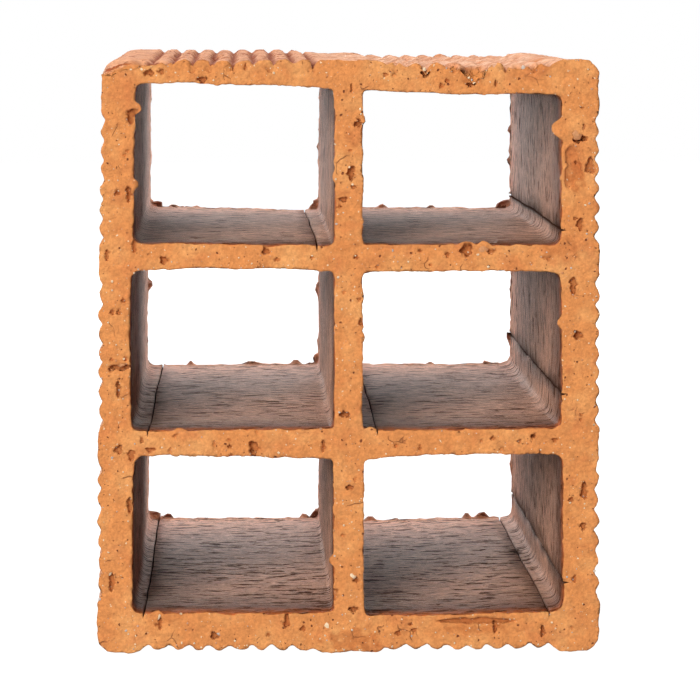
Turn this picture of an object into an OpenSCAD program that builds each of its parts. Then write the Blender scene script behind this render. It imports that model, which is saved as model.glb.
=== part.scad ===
// Hollow clay block with six cells, for walls laid with the cells level.
// X runs across the block, Y along the extrusion and Z up. The origin is the
// middle of the lower bed face, and all sizes are in millimetres.

/* [Block] */
// Width across the two ribbed side faces, over the rib crests
block_w = 118; // [90:1:150]
// Height between the two bed faces, over the rib crests
block_h = 140; // [110:1:190]
// Length of the extrusion, from wire cut to wire cut
block_l = 240; // [140:5:330]
// Radius of the four long outer edges
edge_r = 4; // [1:0.5:5]

/* [Cells] */
// Number of cells side by side
columns = 2; // [1:1:3]
// Number of cells one above another
rows = 3; // [1:1:4]
// Radius of each cell's four corners
cell_r = 3.4; // [1:0.2:5]

/* [Walls and webs] */
// Thickness of each side wall, over the rib crests
side_wall = 8.2; // [6:0.1:12]
// Thickness of the upper bed wall, over the rib crests
top_wall = 6.6; // [6:0.1:12]
// Thickness of the lower bed wall, over the rib crests
bottom_wall = 8.8; // [6:0.1:12]
// Thickness of an upright web between two columns of cells
upright_web = 6.7; // [4:0.1:10]
// Thickness of a level web between two rows of cells
level_web = 6; // [4:0.1:10]

/* [Ribs] */
// Depth of the key grooves below the rib crests
rib_depth = 1.3; // [0.5:0.1:2]
// Pitch that the ribs are spaced near, before they are fitted to their panel
rib_pitch = 4.7; // [3.5:0.1:8]
// Plain band beside each long edge, on the bed faces
bed_edge_band = 9.6; // [6:0.2:14]
// Plain band over each upright web, on the bed faces
bed_web_band = 12.2; // [4:0.2:14]
// Plain band beside each long edge, on the side faces
side_edge_band = 12; // [6:0.2:14]
// Plain band over each level web, on the side faces
side_web_band = 6.8; // [4:0.2:10]

/* [Hidden] */

fired_clay = [0.86, 0.56, 0.37];
groove_steps = 8; // straight steps across one groove
groove_sharpness = 1.35; // above 1 the grooves narrow and the ribs fatten
corner_steps = 6; // straight steps round one rounded corner
cut_clearance = 1; // how far a cell cutter runs past each wire cut

cell_w = (block_w - 2 * side_wall - (columns - 1) * upright_web) / columns;
cell_h = (block_h - top_wall - bottom_wall - (rows - 1) * level_web) / rows;

// Middle of web i, counted from the edge that the first wall lies on.
function web_centre(i, first_wall, cell, web) = first_wall + (i + 1) * cell + (i + 0.5) * web;

upright_webs = [for (i = [0:1:columns - 2]) web_centre(i, side_wall, cell_w, upright_web)];
level_webs = [for (i = [0:1:rows - 2]) web_centre(i, bottom_wall, cell_h, level_web)];

// Points of a quarter circle about (x, y), anticlockwise from the angle start.
function quarter(x, y, r, start) = [
    for (i = [0:corner_steps])
        let (a = start + 90 * i / corner_steps) [x + r * cos(a), y + r * sin(a)]
];

// Depth of the surface below the crests, a given share of the way across a groove.
function groove_depth(share) = rib_depth * pow((1 - cos(360 * share)) / 2, groove_sharpness);

// Points [distance, depth] of the grooves that fill a panel from one distance to another.
function panel(from, to) =
    let (grooves = max(1, round((to - from) / rib_pitch)), steps = grooves * groove_steps)
    [for (i = [0:steps]) [from + (to - from) * i / steps, groove_depth(i / groove_steps)]];

// All the panels of one face of a given length, between its plain bands.
function face(length, webs, edge_band, web_band) = [
    for (i = [0:len(webs)])
        each panel(
            i == 0 ? edge_band : webs[i - 1] + web_band / 2,
            i == len(webs) ? length - edge_band : webs[i] - web_band / 2
        )
];

function reversed(list) = [for (i = [len(list) - 1:-1:0]) list[i]];

bed_face = face(block_w, upright_webs, bed_edge_band, bed_web_band);
side_face = face(block_h, level_webs, side_edge_band, side_web_band);

// Outline of the section, anticlockwise from the lower left edge.
outline = [
    each quarter(edge_r - block_w / 2, edge_r, edge_r, 180),
    for (p = bed_face) [p.x - block_w / 2, p.y],
    each quarter(block_w / 2 - edge_r, edge_r, edge_r, 270),
    for (p = side_face) [block_w / 2 - p.y, p.x],
    each quarter(block_w / 2 - edge_r, block_h - edge_r, edge_r, 0),
    for (p = reversed(bed_face)) [p.x - block_w / 2, block_h - p.y],
    each quarter(edge_r - block_w / 2, block_h - edge_r, edge_r, 90),
    for (p = reversed(side_face)) [p.y - block_w / 2, p.x]
];

// Outline of one cell, with its lower left corner at the origin.
cell_outline = [
    each quarter(cell_r, cell_r, cell_r, 180),
    each quarter(cell_w - cell_r, cell_r, cell_r, 270),
    each quarter(cell_w - cell_r, cell_h - cell_r, cell_r, 0),
    each quarter(cell_r, cell_h - cell_r, cell_r, 90)
];

// A section drawn in X and Z, drawn out along Y to each side of the middle.
module along_block(length) {
    translate([0, length / 2, 0])
        rotate([90, 0, 0])
            linear_extrude(length)
                children();
}

module cell(column, row) {
    x = side_wall - block_w / 2 + column * (cell_w + upright_web);
    z = bottom_wall + row * (cell_h + level_web);
    translate([x, 0, z])
        along_block(block_l + 2 * cut_clearance)
            polygon(cell_outline);
}

// The block, one piece of fired clay, with its cells open at both wire cuts.
module clay_block() {
    color(fired_clay)
        difference() {
            along_block(block_l) polygon(outline);
            for (column = [0:columns - 1], row = [0:rows - 1])
                cell(column, row);
        }
}

clay_block();
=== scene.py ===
"""A fired hollow clay block with six cells: its ragged body, its stone grains and a pale studio."""

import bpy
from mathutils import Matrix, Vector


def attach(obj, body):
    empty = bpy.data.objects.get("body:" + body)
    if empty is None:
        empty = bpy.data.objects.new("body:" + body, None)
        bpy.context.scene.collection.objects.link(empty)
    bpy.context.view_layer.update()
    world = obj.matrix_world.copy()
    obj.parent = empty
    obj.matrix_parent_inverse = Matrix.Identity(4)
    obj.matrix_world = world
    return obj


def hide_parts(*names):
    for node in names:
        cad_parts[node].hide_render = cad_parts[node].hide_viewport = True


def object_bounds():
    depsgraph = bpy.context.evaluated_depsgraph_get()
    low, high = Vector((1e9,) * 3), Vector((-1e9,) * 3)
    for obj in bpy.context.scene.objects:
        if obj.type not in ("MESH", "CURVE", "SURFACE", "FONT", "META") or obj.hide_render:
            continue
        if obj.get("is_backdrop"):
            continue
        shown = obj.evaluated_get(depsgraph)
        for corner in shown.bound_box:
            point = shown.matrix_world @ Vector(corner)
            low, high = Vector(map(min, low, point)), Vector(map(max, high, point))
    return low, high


bl_info = {
    "name": "Hollow Clay Block",
    "version": (1, 0, 0),
    "blender": (4, 5, 0),
    "location": "View3D > Sidebar > Clay Block",
    "description": "Builds a fired six-cell clay block round its packed frame",
    "category": "Add Mesh",
}

import math
from functools import partial

import bmesh
import bpy
import numpy as np
from bpy.props import FloatProperty, FloatVectorProperty, IntProperty, PointerProperty
from bpy.types import Operator, Panel, PropertyGroup
from mathutils import Vector
from mathutils.geometry import delaunay_2d_cdt
from mathutils.kdtree import KDTree

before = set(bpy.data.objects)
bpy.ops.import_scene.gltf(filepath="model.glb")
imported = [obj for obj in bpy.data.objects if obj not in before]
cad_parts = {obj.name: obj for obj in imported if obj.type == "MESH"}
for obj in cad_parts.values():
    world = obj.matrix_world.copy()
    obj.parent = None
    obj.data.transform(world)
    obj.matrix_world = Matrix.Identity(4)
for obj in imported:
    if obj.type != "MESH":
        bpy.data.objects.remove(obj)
CAD_LOW, CAD_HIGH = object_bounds()

MM = 0.001
CAD_NODE = "clay_block"
BODY = "root"
CUT_MATERIAL = "Wire-cut fired clay"
FRONT_CUT = CAD_LOW.y
REAR_CUT = CAD_HIGH.y
HALF_WIDTH = CAD_HIGH.x
HEIGHT = CAD_HIGH.z
CELL_ROWS = 3


# ---------------------------------------------------------------- small helpers


def linear(hex_colour):
    """Linear RGB of an sRGB hex colour such as #DA8E56."""
    parts = [int(hex_colour[i : i + 2], 16) / 255 for i in (1, 3, 5)]
    return tuple(c / 12.92 if c <= 0.04045 else ((c + 0.055) / 1.055) ** 2.4 for c in parts)


def colour(hex_colour):
    """Linear RGBA of an sRGB hex colour, for a node's socket."""
    return (*linear(hex_colour), 1.0)


def per_mm(size):
    """Texture scale that gives a pattern features of a real size in millimetres."""
    return 1 / (size * MM)


def add_node(tree, kind, inputs=(), **settings):
    """Add a node, set its properties, then fill or link its live inputs, by place or by name.

    A node given as an input is linked from its first live output.
    """
    node = tree.nodes.new(kind)
    for name, value in settings.items():
        setattr(node, name, value)
    live = [socket for socket in node.inputs if socket.enabled]
    by_name = {socket.name: socket for socket in reversed(live)}
    pairs = inputs.items() if isinstance(inputs, dict) else enumerate(inputs)
    for key, value in pairs:
        socket = live[key] if isinstance(key, int) else by_name[key]
        if isinstance(value, bpy.types.Node):
            value = next(output for output in value.outputs if output.enabled)
        if isinstance(value, bpy.types.NodeSocket):
            tree.links.new(value, socket)
        else:
            socket.default_value = value
    return node


def smooth_step(low, high, value):
    """0 below low, 1 above high, and a smooth rise between."""
    share = np.clip((value - low) / (high - low), 0, 1)
    return share * share * (3 - 2 * share)


def link_object(name, mesh):
    """A new object at the origin that shows a mesh."""
    thing = bpy.data.objects.new(name, mesh)
    bpy.context.scene.collection.objects.link(thing)
    return thing


def applied_mesh(thing):
    """The object's evaluated mesh as plain data, with its modifiers used up."""
    depsgraph = bpy.context.evaluated_depsgraph_get()
    mesh = bpy.data.meshes.new_from_object(thing.evaluated_get(depsgraph))
    thing.modifiers.clear()
    while mesh.materials and mesh.materials[0] is None:
        mesh.materials.pop(index=0)
    return mesh


def add_tree_modifier(thing, tree, values):
    """Put a Geometry Nodes tree on an object and set its inputs by identifier."""
    modifier = thing.modifiers.new(tree.name, "NODES")
    modifier.node_group = tree
    for item in tree.interface.items_tree:
        if item.item_type == "SOCKET" and item.in_out == "INPUT" and item.name in values:
            modifier[item.identifier] = values[item.name]
    return modifier


def new_tree(name, inputs):
    """A Geometry Nodes tree with a geometry in and out, and named inputs of given kinds and defaults."""
    tree = bpy.data.node_groups.new(name, "GeometryNodeTree")
    tree.interface.new_socket("Geometry", in_out="OUTPUT", socket_type="NodeSocketGeometry")
    tree.interface.new_socket("Geometry", in_out="INPUT", socket_type="NodeSocketGeometry")
    for label, (kind, default) in inputs.items():
        socket = tree.interface.new_socket(label, in_out="INPUT", socket_type=f"NodeSocket{kind}")
        if default is not None:
            socket.default_value = default
    return tree, add_node(tree, "NodeGroupInput").outputs


# ---------------------------------------------------------------- sizes and colours


class ClayBlockSizes(PropertyGroup):
    """Sizes of the block's mesh and of its roughness."""

    rings: IntProperty(
        name="Rings", description="Rings of points along the block, packed towards the cuts",
        default=100, min=20, max=200,
    )
    ring_packing: FloatProperty(
        name="Ring Packing", description="How much closer the rings stand at the cuts than midway",
        default=0.86, min=0, max=0.95, subtype="FACTOR",
    )
    outline_pitch: FloatProperty(
        name="Outline Pitch", description="Distance between points round the outline and the cells",
        default=0.5 * MM, min=0.2 * MM, unit="LENGTH",
    )
    cut_pitch: FloatProperty(
        name="Cut Pitch", description="Distance between points on the cut faces",
        default=0.52 * MM, min=0.2 * MM, unit="LENGTH",
    )
    triangle_limit: IntProperty(
        name="Triangle Limit", description="Triangles kept once the flat stretches are thinned out",
        default=192000, min=20000, max=199000,
    )
    warp_height: FloatProperty(
        name="Warp Height", description="How far drying and firing bent the walls",
        default=0.45 * MM, min=0, unit="LENGTH",
    )
    ragged_height: FloatProperty(
        name="Ragged Height", description="How far the wire tore the cut edges",
        default=0.95 * MM, min=0, unit="LENGTH",
    )
    tear_height: FloatProperty(
        name="Tear Height", description="Depth of the tears that the die left across the faces",
        default=0.35 * MM, min=0, unit="LENGTH",
    )
    rib_wear: FloatProperty(
        name="Rib Wear", description="How deep the ribs are scraped where they are worn most",
        default=1.0 * MM, min=0, unit="LENGTH",
    )
    grain_height: FloatProperty(
        name="Grain Height", description="Relief of the grit in a cut face",
        default=0.16 * MM, min=0, unit="LENGTH",
    )
    grain_spacing: FloatProperty(
        name="Grain Spacing", description="Usual distance between the stone grains that show",
        default=3.3 * MM, min=1 * MM, unit="LENGTH",
    )
    largest_grain: FloatProperty(
        name="Largest Grain", description="Radius of the largest strewn grains",
        default=0.37 * MM, min=0.1 * MM, unit="LENGTH",
    )
    seed: IntProperty(name="Seed", description="Seed of everything random", default=7, min=0)


class ClayBlockColours(PropertyGroup):
    """Colours of the fired clay and of what is in it."""

    cut_clay: FloatVectorProperty(
        name="Cut Clay", description="Open clay where the wire cut it",
        default=linear("#C07A43"), subtype="COLOR", min=0, max=1,
    )
    cut_pale: FloatVectorProperty(
        name="Pale Clay", description="Yellower patches in the cut clay",
        default=linear("#CA8B52"), subtype="COLOR", min=0, max=1,
    )
    cut_red: FloatVectorProperty(
        name="Red Clay", description="Redder patches in the cut clay and fresh breaks",
        default=linear("#AF6035"), subtype="COLOR", min=0, max=1,
    )
    cell_skin: FloatVectorProperty(
        name="Cell Skin", description="Grey-brown skin inside the cells",
        default=linear("#A86D4C"), subtype="COLOR", min=0, max=1,
    )
    cell_end: FloatVectorProperty(
        name="Cell End", description="Pinkish brown of the cell skin near the rear cut",
        default=linear("#E0A07C"), subtype="COLOR", min=0, max=1,
    )
    outer_skin: FloatVectorProperty(
        name="Outer Skin", description="Salmon skin on the ribbed faces",
        default=linear("#E8B898"), subtype="COLOR", min=0, max=1,
    )
    grains: FloatVectorProperty(
        name="Grains", description="Pale stone grains in the clay",
        default=linear("#D2B897"), subtype="COLOR", min=0, max=1,
    )


# ---------------------------------------------------------------- section of the block

# How each cell came out of the die and dried, in mm, keyed by row and column: how far its left and
# right walls moved in X, how far its floor moved in Z and tilted towards its right end, and the
# same of its ceiling, with how far that bows up in the middle.
CELL_SLUMP = {
    (0, 0): ((0.0, -0.1), (0.6, 0.0), (0.0, -0.6, 0.1)),
    (0, 1): ((0.3, -0.4), (0.3, 0.5), (0.0, 0.5, 0.7)),
    (1, 0): ((-0.7, -0.2), (0.4, 0.2), (0.7, -0.2, 0.4)),
    (1, 1): ((-0.2, -0.7), (0.6, 0.1), (0.2, 0.1, 0.5)),
    (2, 0): ((-0.3, -0.2), (0.8, -0.4), (0.6, -0.7, 0.4)),
    (2, 1): ((-0.3, -0.6), (0.8, -0.1), (-0.9, -0.5, -0.3)),
}
# The whole section leaned and spread at its foot, in mm at the foot and at the top.
LEAN = (-0.35, 0.05)
SPREAD = (0.55, -0.35)
# How far the ribs between the plain bands lie behind them, on the lower and upper faces.
RIBS_BEHIND_BANDS = 0.6
# Where the ribs of those faces begin and end, as distances from the middle, in mm.
BAND_HALF = 8.0
PANEL_END = 48.0
# How deep below a face its ribs and grooves reach, and how wide the corners are that have none.
RIBBED_DEPTH = 3 * MM
PLAIN_CORNER = 8 * MM
# Radius of the cells' corners, and the powers that sharpen those by the web and those by the sides.
CORNER_RADIUS = 3.4
WEB_CORNER_POWER = 1.8
SIDE_CORNER_POWER = 1.35
# Depth and sharpness of the frame's grooves, and the depth of those torn open on the upper left.
GROOVE_DEPTH = 1.3
GROOVE_SHARPNESS = 1.35
TORN_GROOVE_DEPTH = 2.0
# Long cracks drawn out along the cells' walls, in mm: the cell, the wall they run on, and their X or Z.
LONG_CRACKS = (
    ((1, 0), "floor", -47.3), ((0, 0), "floor", -47.9), ((0, 1), "floor", 47.0), ((1, 1), "floor", 6.9),
    ((1, 1), "right", 61.2), ((2, 1), "right", 100.2), ((2, 0), "floor", -7.6), ((0, 1), "right", 16.5),
)
# Half the width of a crack at its lips, by the wall it runs on, in mm.
CRACK_HALF_WIDTH = {"floor": 0.24, "right": 0.3}
CRACK_DEPTH = 1.4
# How far into a cell a point may lie and still be on the wall that a crack runs on.
WALL_REACH = 2.4 * MM
# Spacing of the points in the pits of the front cut, in mm.
PIT_PITCH = 0.18
# No clay in the section lies further than this from an outline.
DEEPEST_CLAY = 7 * MM


def section_loops(cad):
    """Outlines of the front cut, the outer one first, as arrays of (x, z)."""
    merged = bmesh.new()
    merged.from_mesh(cad.data)
    bmesh.ops.remove_doubles(merged, verts=merged.verts, dist=0.01 * MM)
    on_cut = {f for f in merged.faces if all(abs(v.co.y - FRONT_CUT) < 0.01 * MM for v in f.verts)}
    follows = {}
    for edge in merged.edges:
        if len(on_cut.intersection(edge.link_faces)) == 1:
            a, b = edge.verts
            follows.setdefault(a, []).append(b)
            follows.setdefault(b, []).append(a)
    loops, used = [], set()
    for start in sorted(follows, key=lambda v: v.index):
        if start in used:
            continue
        loop, here = [start], follows[start][0]
        used.add(start)
        while here is not start:
            used.add(here)
            loop.append(here)
            here = next((v for v in follows[here] if v not in used), start)
        loops.append(np.array([(v.co.x, v.co.z) for v in loop]))
    merged.free()
    return sorted(loops, key=lambda loop: -np.ptp(loop[:, 0]) * np.ptp(loop[:, 1]))


def even_points(loop, pitch):
    """The loop again, with evenly spaced points and its facets eased."""
    closed = np.vstack([loop, loop[:1]])
    along = np.concatenate([[0], np.cumsum(np.hypot(*np.diff(closed, axis=0).T))])
    count = round(along[-1] / pitch)
    stops = np.arange(count) * along[-1] / count
    points = np.column_stack([np.interp(stops, along, closed[:, i]) for i in (0, 1)])
    return (np.roll(points, 1, axis=0) + 2 * points + np.roll(points, -1, axis=0)) / 4


def cell_place(loop):
    """Row and column of the cell that a loop goes round."""
    centre = (loop.min(axis=0) + loop.max(axis=0)) / 2
    return int(centre[1] / HEIGHT * CELL_ROWS), int(centre[0] > 0)


def slump_cell(loop):
    """Reshape a cell's corners and move its walls as its entry in CELL_SLUMP says."""
    (left, right), (sill, sill_tilt), (head, head_tilt, bow) = CELL_SLUMP[cell_place(loop)]
    loop = reshape_corners(loop)
    low, high = loop.min(axis=0), loop.max(axis=0)
    u, v = ((loop - low) / (high - low)).T
    across = 2 * u - 1
    floor = sill + sill_tilt * across
    ceiling = head + head_tilt * across + bow * (1 - across**2)
    move_x = left * (1 - u) + right * u
    move_z = floor * (1 - v) + ceiling * v
    return loop + np.column_stack([move_x, move_z]) * MM


def reshape_corners(loop):
    """Sharpen a cell's corners, those by the upright web the most."""
    low, high = loop.min(axis=0), loop.max(axis=0)
    centre = (low + high) / 2
    share = ((high - low) / 2 - np.abs(loop - centre)) / (CORNER_RADIUS * MM)
    by_web = (loop[:, 0] - centre[0]) * centre[0] < 0
    power = np.where(by_web, WEB_CORNER_POWER, SIDE_CORNER_POWER)[:, None]
    in_corner = (share < 1).all(axis=1)[:, None]
    inwards = np.clip(share, 0, 1) ** power - share
    return loop - np.sign(loop - centre) * inwards * in_corner * CORNER_RADIUS * MM


def sharpen_grooves(loop):
    """Round the ribs fully and draw the grooves between them to sharp valleys."""
    low, high = loop.min(axis=0), loop.max(axis=0)
    gaps = np.column_stack([loop - low, high - loop])
    side = gaps.argmin(axis=1)
    gap = gaps.min(axis=1) / (GROOVE_DEPTH * MM)
    clear = np.sort(gaps, axis=1)[:, 1] > PLAIN_CORNER
    swing = np.clip(gap, 0, 1) ** (1 / GROOVE_SHARPNESS)
    move = (gap - 1 + np.sqrt(1 - swing)) * clear * GROOVE_DEPTH * MM
    directions = np.array([(-1, 0), (0, -1), (1, 0), (0, 1)])[side]
    return loop + directions * move[:, None]


def settle_outline(loop):
    """Set the ribs of the bed faces back behind their plain bands, and deepen the upper left grooves."""
    x = np.abs(loop[:, 0]) / MM
    panel = smooth_step(BAND_HALF, BAND_HALF + 3, x) * (1 - smooth_step(PANEL_END, PANEL_END + 3, x))
    z = loop[:, 1]
    lower = panel * (z < RIBBED_DEPTH)
    upper = panel * (z > HEIGHT - RIBBED_DEPTH) * (loop[:, 0] > 0)
    settled = loop.copy()
    settled[:, 1] += (lower - upper) * RIBS_BEHIND_BANDS * MM + lower * 0.25 * z
    on_top = (z > HEIGHT - RIBBED_DEPTH) & (x < PANEL_END + 3) & (loop[:, 0] < 0)
    drop = (HEIGHT - z) / (GROOVE_DEPTH * MM)
    settled[:, 1] += on_top * (drop * GROOVE_DEPTH - np.clip(drop, 0, 1) ** 2 * TORN_GROOVE_DEPTH) * MM
    return settled


def crack_walls(loop):
    """Open the long cracks in a cell's outline.

    Returns it, and how much painted shade each of its points takes in a crack, from 0 to 1.
    """
    sunk = np.zeros(len(loop))
    low, high = loop.min(axis=0), loop.max(axis=0)
    for cell, wall, place in LONG_CRACKS:
        if cell != cell_place(loop):
            continue
        axis = 0 if wall == "floor" else 1
        on_floor, on_right = loop[:, 1] < low[1] + WALL_REACH, loop[:, 0] > high[0] - WALL_REACH
        on_wall = on_floor if wall == "floor" else on_right
        gap = np.where(on_wall, np.abs(loop[:, axis] - place * MM), 1)
        deepest = gap.argmin()
        before, after = deepest - 1, (deepest + 1) % len(loop)
        step = np.sign(loop[after, axis] - loop[before, axis]) * CRACK_HALF_WIDTH[wall] * MM
        loop[[before, deepest, after], axis] = place * MM + np.array((-step, 0, step))
        outwards = np.array((0, -1)) if wall == "floor" else np.array((1, 0))
        loop[deepest] += outwards * CRACK_DEPTH * MM
        sunk[deepest] = 1
        # On a right wall the lips take part of the painted shade, to widen the dark line.
        if wall == "right":
            sunk[[before, after]] = 0.45
    return loop, sunk


def lean(loop):
    """Lean the section and spread its foot."""
    share = loop[:, 1] / HEIGHT
    shift = LEAN[0] + (LEAN[1] - LEAN[0]) * share
    spread = (SPREAD[0] + (SPREAD[1] - SPREAD[0]) * share) * loop[:, 0] / HALF_WIDTH
    leant = loop.copy()
    leant[:, 0] += (shift + spread) * MM
    return leant


def section_mesh(cad, sizes):
    """The front cut as a flat mesh of small even triangles, facing along +Y.

    The attribute cell_wall is 1 at the points round the cells, and crack, which leads the painted shade
    of the long cracks, is 1 at their bottoms and less at the lips of those on right walls. Both are 0
    elsewhere.
    """
    outer, *cells = [even_points(loop, sizes.outline_pitch) for loop in section_loops(cad)]
    cracked = [crack_walls(slump_cell(loop)) for loop in cells]
    loops = [lean(settle_outline(sharpen_grooves(outer))), *[lean(loop) for loop, _ in cracked]]
    sunk = np.concatenate([np.zeros(len(outer)), *[depths for _, depths in cracked]])
    rim = np.vstack(loops)
    ends = np.cumsum([len(loop) for loop in loops])
    rings = [list(range(end - len(loop), end)) for end, loop in zip(ends, loops)]
    near_rim = KDTree(len(rim))
    for i, (x, z) in enumerate(rim):
        near_rim.insert((x, z, 0), i)
    near_rim.balance()

    fine = {
        (round(x / PIT_PITCH + i), round(z / PIT_PITCH + j))
        for x, z, across, up, _ in front_pits(cad, sizes.seed)
        for i in np.arange(-1.4 * across, 1.4 * across, PIT_PITCH) / PIT_PITCH
        for j in np.arange(-1.4 * up, 1.4 * up, PIT_PITCH) / PIT_PITCH
    }
    pitch = sizes.cut_pitch
    shuffle = np.random.default_rng(sizes.seed)
    filling = []
    for row, z in enumerate(np.arange(0, HEIGHT, pitch * math.sqrt(3) / 2)):
        for x in np.arange(-HALF_WIDTH, HALF_WIDTH, pitch) + (row % 2) * pitch / 2:
            spot = (x, z) + shuffle.uniform(-0.22, 0.22, 2) * pitch
            rim_gap = near_rim.find((*spot, 0))[2]
            in_pit = tuple(np.rint(spot / MM / PIT_PITCH).astype(int)) in fine
            if 0.6 * pitch < rim_gap < DEEPEST_CLAY and not in_pit:
                filling.append(spot)
    for place in sorted(fine):
        spot = (np.array(place) + shuffle.uniform(-0.25, 0.25, 2)) * PIT_PITCH * MM
        if near_rim.find((*spot, 0))[2] > 0.5 * pitch:
            filling.append(spot)

    points = [Vector(p) for p in rim] + [Vector(p) for p in filling]
    inside_with_holes = 2
    flat, _, faces, origins, _, _ = delaunay_2d_cdt(points, [], rings, inside_with_holes, 1e-7)
    used = sorted({i for face in faces for i in face})
    renumber = {old: new for new, old in enumerate(used)}
    mesh = bpy.data.meshes.new("section")
    verts = [(flat[i].x, FRONT_CUT, flat[i].y) for i in used]
    mesh.from_pydata(verts, [], [[renumber[i] for i in reversed(face)] for face in faces])
    wall = mesh.attributes.new("cell_wall", "FLOAT", "POINT")
    on_cell = [float(any(ends[0] <= o < ends[-1] for o in origins[i])) for i in used]
    wall.data.foreach_set("value", on_cell)
    crack = mesh.attributes.new("crack", "FLOAT", "POINT")
    in_crack = [max([sunk[o] for o in origins[i] if o < ends[-1]], default=0.0) for i in used]
    crack.data.foreach_set("value", in_crack)
    return mesh


# ---------------------------------------------------------------- drawing the block out


def block_tree():
    """Geometry Nodes tree that draws a flat section out into a closed block and roughens it.

    It extrudes the section ring by ring, closes the front with the section itself, packs the
    rings towards the cuts, warps the walls, tears the skins across and frays the cut edges.
    """
    tree, given = new_tree("Drawn clay block", {
        "Length": ("Float", 0.24),
        "Rings": ("Int", 100),
        "Ring Packing": ("Float", 0.86),
        "Warp Height": ("Float", 0.0004),
        "Ragged Height": ("Float", 0.0004),
        "Tear Height": ("Float", 0.0003),
        "Rib Wear": ("Float", 0.001),
        "Grain Height": ("Float", 0.0001),
        "Seed": ("Int", 7),
        "Cut Material": ("Material", None),
        "Cell Material": ("Material", None),
        "Outer Material": ("Material", None),
    })
    add = partial(add_node, tree)

    # Extrude the leading faces again and again, then close the front with the section itself.
    step = add("ShaderNodeMath", [given["Length"], given["Rings"]], operation="DIVIDE")
    start = add("GeometryNodeRepeatInput")
    end = add("GeometryNodeRepeatOutput")
    start.pair_with_output(end)
    end.repeat_items.new("BOOLEAN", "Leading")
    tree.links.new(given["Rings"], start.inputs["Iterations"])
    tree.links.new(given["Geometry"], start.inputs["Geometry"])
    start.inputs["Leading"].default_value = True
    extrude = add("GeometryNodeExtrudeMesh", {
        "Mesh": start.outputs["Geometry"],
        "Selection": start.outputs["Leading"],
        "Offset": add("ShaderNodeCombineXYZ", {"Y": 1.0}),
        "Offset Scale": step,
        "Individual": False,
    }, mode="FACES")
    tree.links.new(extrude.outputs["Mesh"], end.inputs["Geometry"])
    tree.links.new(extrude.outputs["Top"], end.inputs["Leading"])
    front = add("GeometryNodeFlipFaces", [given["Geometry"]])
    both = add("GeometryNodeJoinGeometry", [end.outputs["Geometry"]])
    tree.links.new(front.outputs[0], both.inputs[0])
    closed = add("GeometryNodeMergeByDistance", {"Geometry": both, "Distance": 0.005 * MM})

    # Mark the cut faces before the relief turns their normals.
    facing = add("ShaderNodeSeparateXYZ", [add("GeometryNodeInputNormal")])
    along = add("ShaderNodeMath", [facing.outputs["Y"]], operation="ABSOLUTE")
    marked = add("GeometryNodeCaptureAttribute", domain="FACE")
    marked.capture_items.new("BOOLEAN", "Cut")
    tree.links.new(closed.outputs[0], marked.inputs["Geometry"])
    is_cut = add("ShaderNodeMath", [along, 0.5], operation="GREATER_THAN")
    tree.links.new(is_cut.outputs[0], marked.inputs["Cut"])

    # Pack the rings towards the cuts: y moves by L k sin(2 pi y / L) / 2 pi.
    drawn = add("ShaderNodeSeparateXYZ", [add("GeometryNodeInputPosition")])
    share = add("ShaderNodeMath", [drawn.outputs["Y"], given["Length"]], operation="DIVIDE")
    turn = add("ShaderNodeMath", [share, 2 * math.pi], operation="MULTIPLY")
    swing = add("ShaderNodeMath", [add("ShaderNodeMath", [turn], operation="SINE"), given["Ring Packing"]],
                operation="MULTIPLY")
    reach = add("ShaderNodeMath", [given["Length"], 0.5 / math.pi], operation="MULTIPLY")
    pull = add("ShaderNodeCombineXYZ", {"Y": add("ShaderNodeMath", [swing, reach], operation="MULTIPLY")})
    packed = add("GeometryNodeSetPosition", {"Geometry": marked, "Offset": pull})

    # Two shares that fade with depth from the nearer cut.
    position = add("GeometryNodeInputPosition")
    axes = add("ShaderNodeSeparateXYZ", [position])
    from_middle = add("ShaderNodeMath", [axes.outputs["Y"]], operation="ABSOLUTE")
    half = add("ShaderNodeMath", [given["Length"], 0.5], operation="MULTIPLY")
    depth = add("ShaderNodeMath", [half, from_middle], operation="SUBTRACT")
    at_edge, at_end = (
        add("ShaderNodeMapRange", {
            "Value": depth, "From Min": 0.0, "From Max": fade * MM, "To Min": 1.0, "To Max": 0.0,
        }, interpolation_type="SMOOTHSTEP")
        for fade in (2.6, 22)
    )

    def noise(number, size, stretch=(1, 1, 1), detail=2.0, distortion=0.0):
        """Seeded noise with features of a size in mm, drawn out by a factor on each axis."""
        drawn_out = add("ShaderNodeVectorMath", [position, stretch], operation="DIVIDE")
        shift = add("ShaderNodeMath", [given["Seed"], 0.137, 0.31 * number], operation="MULTIPLY_ADD")
        moved = add("ShaderNodeVectorMath", [drawn_out, shift], operation="ADD")
        return add("ShaderNodeTexNoise", {
            "Vector": moved, "Scale": per_mm(size), "Detail": detail, "Distortion": distortion,
        })

    def shove(texture, height, shares):
        """A noise's colour as a move about zero, of a height, with a share on each axis."""
        centred = add("ShaderNodeVectorMath", [texture.outputs["Color"], (0.5, 0.5, 0.5)],
                      operation="SUBTRACT")
        tall = add("ShaderNodeVectorMath", {"Vector": centred, "Scale": height}, operation="SCALE")
        return add("ShaderNodeVectorMath", [tall, shares], operation="MULTIPLY")

    # The walls warp over the whole length, and the cut edges fray close to the wire.
    long_warp = add("ShaderNodeMath", [given["Warp Height"], 2.6], operation="MULTIPLY")
    frayed = add("ShaderNodeMath", [given["Ragged Height"], at_edge], operation="MULTIPLY")
    shoves = [
        shove(noise(1, 34, (1, 3, 1)), long_warp, (1, 0.6, 1)),
        shove(noise(2, 9, (1, 2, 1)), given["Warp Height"], (1, 0.2, 1)),
        shove(noise(3, 1.8, detail=3), frayed, (1, 0.25, 1)),
        shove(noise(7, 5.5, detail=1), frayed, (1, 0.1, 1)),
    ]

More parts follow.
